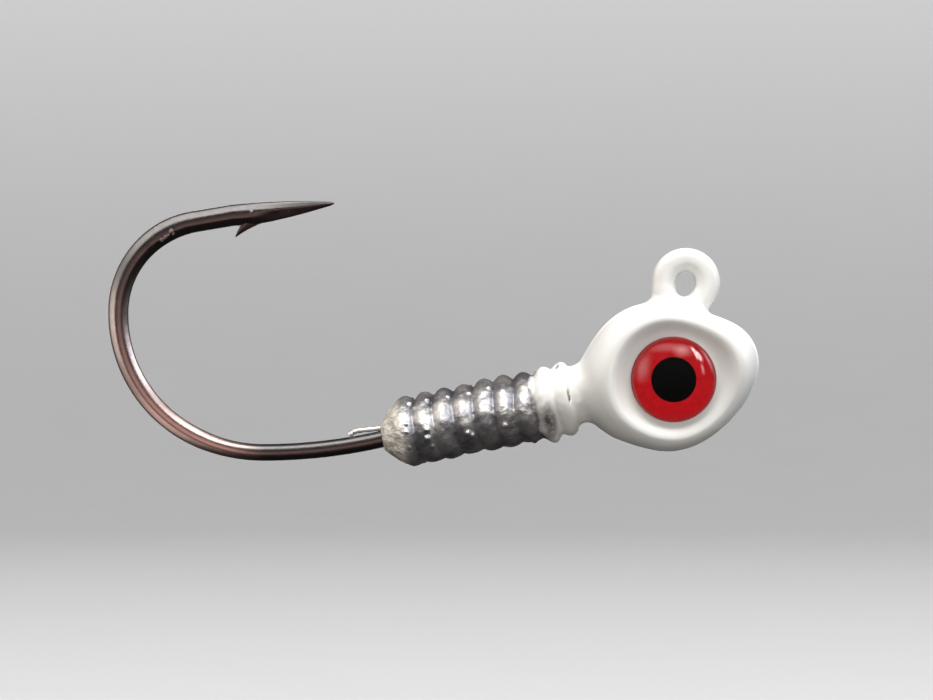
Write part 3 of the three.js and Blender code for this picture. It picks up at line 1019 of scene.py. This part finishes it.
def bare_lead():
    """Bright cast lead, duller in the grooves, and chalky on the rough rear face."""
    m = Material("bare_lead")
    clouds = m.noise(0.7, 5, 0.6)
    base = m.mix(m.remap(clouds, 0.35, 0.65), (0.37, 0.375, 0.42), (0.8, 0.79, 0.78))
    low = m.remap(m.attribute("height"), 0.1, 0.8, 1, 0)
    worn = m.mix(m.math("MULTIPLY", low, 0.7), base, (0.16, 0.16, 0.19))
    chalk = m.math("MULTIPLY", m.attribute("chalk"), m.remap(m.noise(1.3, 5, 0.6), 0.3, 0.5, 0.45, 1))
    pale = m.mix(m.remap(m.noise(2.0, 5, 0.6), 0.35, 0.65), (0.62, 0.59, 0.52), (0.92, 0.9, 0.84))
    m.colour(m.mix(chalk, worn, pale))
    m.link(m.remap(chalk, 0, 1, 0.9, 0.12), m.shader.inputs["Metallic"])
    grain = m.remap(m.noise(3.0, 6, 0.65), 0.25, 0.75, 0.28, 0.44)
    m.link(m.math("ADD", grain, m.math("MULTIPLY", chalk, 0.1)), m.shader.inputs["Roughness"])
    m.bump(m.noise(5.0, 4, 0.6), 0.05)
    m.bump(m.math("MULTIPLY", m.noise(2.2, 4, 0.6), m.attribute("chalk")), 0.25)
    return m.material


def white_coat():
    """Semi-gloss white powder coat, thin and grimy where it stops on the collar."""
    m = Material("white_coat")
    m.set(Coat_Weight=0.15, Coat_Roughness=0.12)
    clouds = m.noise(0.22, 3)
    base = m.mix(m.remap(clouds, 0.3, 0.7), (0.82, 0.81, 0.775), (0.85, 0.845, 0.82))
    grime = m.math("MULTIPLY", m.attribute("thin"), m.remap(m.noise(2.6, 4), 0.3, 0.6, 0.65, 1))
    m.colour(m.mix(grime, base, (0.22, 0.2, 0.19)))
    m.roughness(m.noise(1.6, 3), 0.29, 0.38)
    m.bump(m.noise(1.9, 2, 0.4), 0.012)
    return m.material


def keeper_steel():
    m = Material("keeper_steel")
    m.set(Metallic=0.75)
    m.colour(m.mix(m.remap(m.noise(2.0, 3), 0.3, 0.7), (0.8, 0.79, 0.77), (0.97, 0.96, 0.94)))
    m.roughness(m.noise(4.0, 4), 0.38, 0.55)
    m.bump(m.noise(7.0, 3), 0.01)
    return m.material


def foam():
    m = Material("eye_foam")
    m.colour(m.mix(m.remap(m.noise(6.0, 3), 0.3, 0.7), (0.78, 0.76, 0.7), (0.86, 0.84, 0.8)))
    m.roughness(m.noise(4.0, 3), 0.7, 0.9)
    m.bump(m.spots(7.0), 0.03)
    return m.material


def eye_distance(m):
    """Distance from the eye's axis as a share of its radius."""
    away = m.add("VectorMath", operation="SUBTRACT")
    away.inputs[1].default_value = (EYE_CENTRE[0], 0, EYE_CENTRE[1])
    flat = m.add("VectorMath", operation="MULTIPLY")
    flat.inputs[1].default_value = (1 / EYE_R, 0, 1 / EYE_R)
    length = m.add("VectorMath", operation="LENGTH")
    m.link(m.place(), away.inputs[0])
    m.link(away.outputs[0], flat.inputs[0])
    m.link(flat.outputs[0], length.inputs[0])
    return length.outputs["Value"]


def red_iris():
    m = Material("red_iris")
    m.set(Specular_IOR_Level=0.0)
    rim = m.remap(eye_distance(m), 0.84, 1.0)
    ink = m.mix(m.remap(m.noise(3.0, 4), 0.3, 0.7), (0.37, 0.006, 0.009), (0.43, 0.009, 0.012))
    m.colour(m.mix(rim, ink, (0.25, 0.03, 0.03)))
    m.roughness(m.noise(5.0, 3), 0.35, 0.5)
    m.bump(m.noise(12.0, 2), 0.004)
    return m.material


def black_ink():
    m = Material("black_ink")
    m.set(Specular_IOR_Level=0.0)
    m.colour(m.mix(m.noise(6.0, 3), (0.0008, 0.0008, 0.0008), (0.0015, 0.0015, 0.0015)))
    m.roughness(m.noise(5.0, 3), 0.45, 0.6)
    m.bump(m.noise(12.0, 2), 0.003)
    return m.material


def clear_resin():
    """Clear resin that lets the lamps through to the print under it."""
    m = Material("clear_resin")
    m.set(Transmission_Weight=1.0, IOR=1.5, Specular_IOR_Level=0.35, Base_Color=(1, 1, 1, 1))
    m.roughness(m.noise(1.5, 3), 0.02, 0.05)
    m.bump(m.noise(0.5, 2), 0.01)
    through = m.add("BsdfTransparent")
    path = m.add("LightPath")
    mix = m.add("MixShader")
    m.link(path.outputs["Is Shadow Ray"], mix.inputs[0])
    m.link(m.shader.outputs["BSDF"], mix.inputs[1])
    m.link(through.outputs["BSDF"], mix.inputs[2])
    m.link(mix.outputs[0], m.output.inputs["Surface"])
    return m.material


# -------- camera, floor and light

LENS = 135.0
SENSOR = 36.0
VIEW_WIDTH = 75.85  # millimetres across the picture at the object
VIEW_CENTRE = (-17.75, 0.0, -5.37)

FLOOR_Z = -42.0
FLOOR_R = 420.0
SWEEP_R = 500.0
WALL_TOP = 1500.0
SWEEP_STEPS = 23
FLOOR_SIDES = 128


def make_camera():
    data = bpy.data.cameras.new("camera")
    data.sensor_width, data.lens = SENSOR, LENS
    camera = add_object("camera", data)
    distance = LENS / SENSOR * VIEW_WIDTH
    camera.location = Vector(VIEW_CENTRE) * MM - Vector((0, distance * MM, 0))
    camera.rotation_euler = (math.pi / 2, 0, 0)
    data.clip_start, data.clip_end = 0.01, 20
    bpy.context.scene.camera = camera


def floor_shape():
    """Points and faces of a floor that curves up all round into a wall."""
    profile = [(FLOOR_R * 0.5, 0), (FLOOR_R, 0)]
    for angle in np.linspace(0, math.pi / 2, SWEEP_STEPS + 1)[1:]:
        profile.append((FLOOR_R + SWEEP_R * math.sin(angle), SWEEP_R * (1 - math.cos(angle))))
    profile.append((FLOOR_R + SWEEP_R, WALL_TOP))
    points = [(VIEW_CENTRE[0], 0, FLOOR_Z)]
    for radius, height in profile:
        for angle in circle(FLOOR_SIDES):
            x = VIEW_CENTRE[0] + radius * math.cos(angle)
            points.append((x, radius * math.sin(angle), FLOOR_Z + height))
    faces = [(0, 1 + j, 1 + (j + 1) % FLOOR_SIDES) for j in range(FLOOR_SIDES)]
    return points, faces + bands(1, len(profile), FLOOR_SIDES)


def floor_paint():
    """Grey underfoot and pale up the wall."""
    m = Material("floor")
    wall = m.remap(m.split(m.place())["Z"], FLOOR_Z, FLOOR_Z + SWEEP_R / 2)
    cloudy = m.mix(m.noise(0.05, 2), (0.42, 0.42, 0.425), (0.435, 0.435, 0.44))
    m.colour(m.mix(wall, cloudy, (0.86, 0.86, 0.87)))
    m.set(Roughness=0.9)
    return m.material


def make_floor():
    """A backdrop that only the camera sees: no reflection, bounce light or shadow of it."""
    points, faces = floor_shape()
    mesh = bpy.data.meshes.new("floor")
    mesh.from_pydata((np.array(points) * MM).tolist(), [], faces)
    mesh.shade_smooth()
    mesh.materials.append(floor_paint())
    floor = add_object("floor", mesh)
    floor.visible_glossy = floor.visible_diffuse = floor.visible_shadow = False
    return floor


def add_light(name, direction, distance, size, brightness, colour, soft_edge, lit=(), spared=()):
    """A soft lamp in a direction from the object, turned towards it. Brightness is its glow."""
    data = bpy.data.lights.new(name, "AREA")
    data.shape = "RECTANGLE"
    data.size, data.size_y = size[0] * MM, size[1] * MM
    data.energy = brightness * math.pi * data.size * data.size_y
    data.color = colour
    soften_edges(data, soft_edge)
    lamp = add_object(name, data)
    away = Vector(direction).normalized()
    lamp.location = (Vector(VIEW_CENTRE) + away * distance) * MM
    lamp.rotation_mode = "QUATERNION"
    lamp.rotation_quaternion = (-away).to_track_quat("-Z", "Y")
    lamp.visible_camera = False
    if lit or spared:
        limit_light(lamp, lit, spared)


def soften_edges(lamp_data, soft_edge):
    """Fades a lamp's glow towards its edges, over that share of its size."""
    t = Tree(lamp_data)
    place = t.split(t.add("NewGeometry").outputs["Parametric"])
    fades = []
    for axis in range(2):
        aside = t.math("ABSOLUTE", t.math("SUBTRACT", place[axis], 0.5))
        fades.append(t.remap(aside, 0.5, 0.5 - soft_edge))
    t.link(t.math("MULTIPLY", *fades), t.tree.nodes["Emission"].inputs["Strength"])


def limit_light(lamp, lit, spared):
    """Makes a lamp light only some objects, or all but some."""
    group = bpy.data.collections.new(lamp.name)
    for each in (*lit, *spared):
        group.objects.link(each)
    for entry in group.collection_objects:
        entry.light_linking.link_state = "INCLUDE" if lit else "EXCLUDE"
    lamp.light_linking.receiver_collection = group


WHITE, CREAM, WARM = (1, 0.99, 0.97), (1, 0.95, 0.89), (1, 0.91, 0.8)
COOL, DAYLIGHT = (0.85, 0.92, 1), (0.97, 0.99, 1)
ROSE, BLUSH = (1, 0.6, 0.54), (1, 0.83, 0.77)


def light_paint(paint, shiny):
    """Broad soft light for the head, the top one kept off the shiny pieces."""
    add_light("top", (0.0, -0.3, 1.0), 560, (1150, 520), 7.5, WHITE, 0.35, spared=shiny)
    add_light("front", (0.15, -1.0, -0.08), 620, (700, 600), 2.2, WHITE, 0.35, paint)
    add_light("back", (0.2, 1.0, 0.25), 620, (700, 600), 1.8, WHITE, 0.35, paint)
    add_light("left", (-1.0, -0.12, 0.45), 620, (600, 800), 1.1, WARM, 0.35)
    add_light("right", (1.0, -0.12, 0.5), 620, (480, 480), 7.6, COOL, 0.45)


def light_metal(hook, collar):
    """Strips that the collar and the hook's facets reflect."""
    add_light("collar top", (0.0, -0.72, 0.7), 560, (1150, 700), 4.5, CREAM, 0.35, collar)
    add_light("hook top", (0.0, -0.4, 1.0), 560, (1150, 520), 5.5, WHITE, 0.35, hook)
    add_light("hook left", (-0.95, -0.33, 0.0), 560, (420, 560), 4.0, CREAM, 0.5, hook)
    add_light("hook corner", (-0.68, -0.35, 0.64), 560, (460, 460), 4.5, CREAM, 0.5, hook)
    add_light("hook low", (-0.68, -0.35, -0.64), 560, (460, 460), 1.8, BLUSH, 0.5, hook)
    add_light("card", (-0.05, -1.0, -0.22), 400, (520, 430), 1.4, ROSE, 0.5, hook)


def light_domes(domes):
    """Windows and their haze on the clear domes."""
    windows = (
        ("window", (0.6, -0.55, 0.62), (60, 190), 16, 0.3),
        ("window beside", (0.7, -0.53, 0.54), (50, 150), 13, 0.3),
        ("window low", (0.76, -0.62, 0.24), (50, 150), 6, 0.5),
        ("window high", (0.3, -0.66, 0.7), (260, 200), 5, 0.5),
        ("haze", (-0.1, -0.62, 0.78), (600, 180), 2.4, 0.5),
        ("window left", (-0.7, -0.66, 0.3), (260, 420), 2.8, 0.5),
        ("far window", (0.5, 0.62, 0.6), (150, 210), 12, 0.35),
    )
    for name, direction, size, brightness, soft_edge in windows:
        add_light(name, direction, 420, size, brightness, WHITE, soft_edge, domes)


SKY_LIGHT = 0.14
SKY_BELOW, SKY_ABOVE = 0.03, 0.13  # the sky's brightness in a reflection


def make_world():
    """A dim sky, dimmer still in reflections, darkest below."""
    world = bpy.data.worlds.new("world")
    bpy.context.scene.world = world
    t = Tree(world)
    height = t.split(t.add("TexCoord").outputs["Generated"])["Z"]
    strength = t.add("Mix")
    strength.inputs["A"].default_value = SKY_LIGHT
    t.link(t.add("LightPath").outputs["Is Glossy Ray"], strength.inputs["Factor"])
    t.link(t.remap(height, -0.7, 0.9, SKY_BELOW, SKY_ABOVE, "LINEAR"), strength.inputs["B"])
    background = t.tree.nodes["Background"]
    background.inputs["Color"].default_value = (1.0, 0.93, 0.9, 1)
    t.link(strength.outputs["Result"], background.inputs["Strength"])


# -------- scene

make_camera()
hook = make_hook()
casting = make_casting()
coat = make_coat()
keeper = make_keeper()
eyes = [make_eye("right", -1), make_eye("left", 1)]
domes = [eye["dome"] for eye in eyes]
light_paint([coat, *(eye["iris_disc"] for eye in eyes)], [hook, casting, keeper, *domes])
light_metal([hook], [casting, keeper])
light_domes(domes)
add_light("room", (0.0, 0.0, 1.0), 1100, (1700, 1700), 1.75, DAYLIGHT, 0.3, [make_floor()])
make_world()
bpy.context.scene.view_settings.view_transform = "Standard"
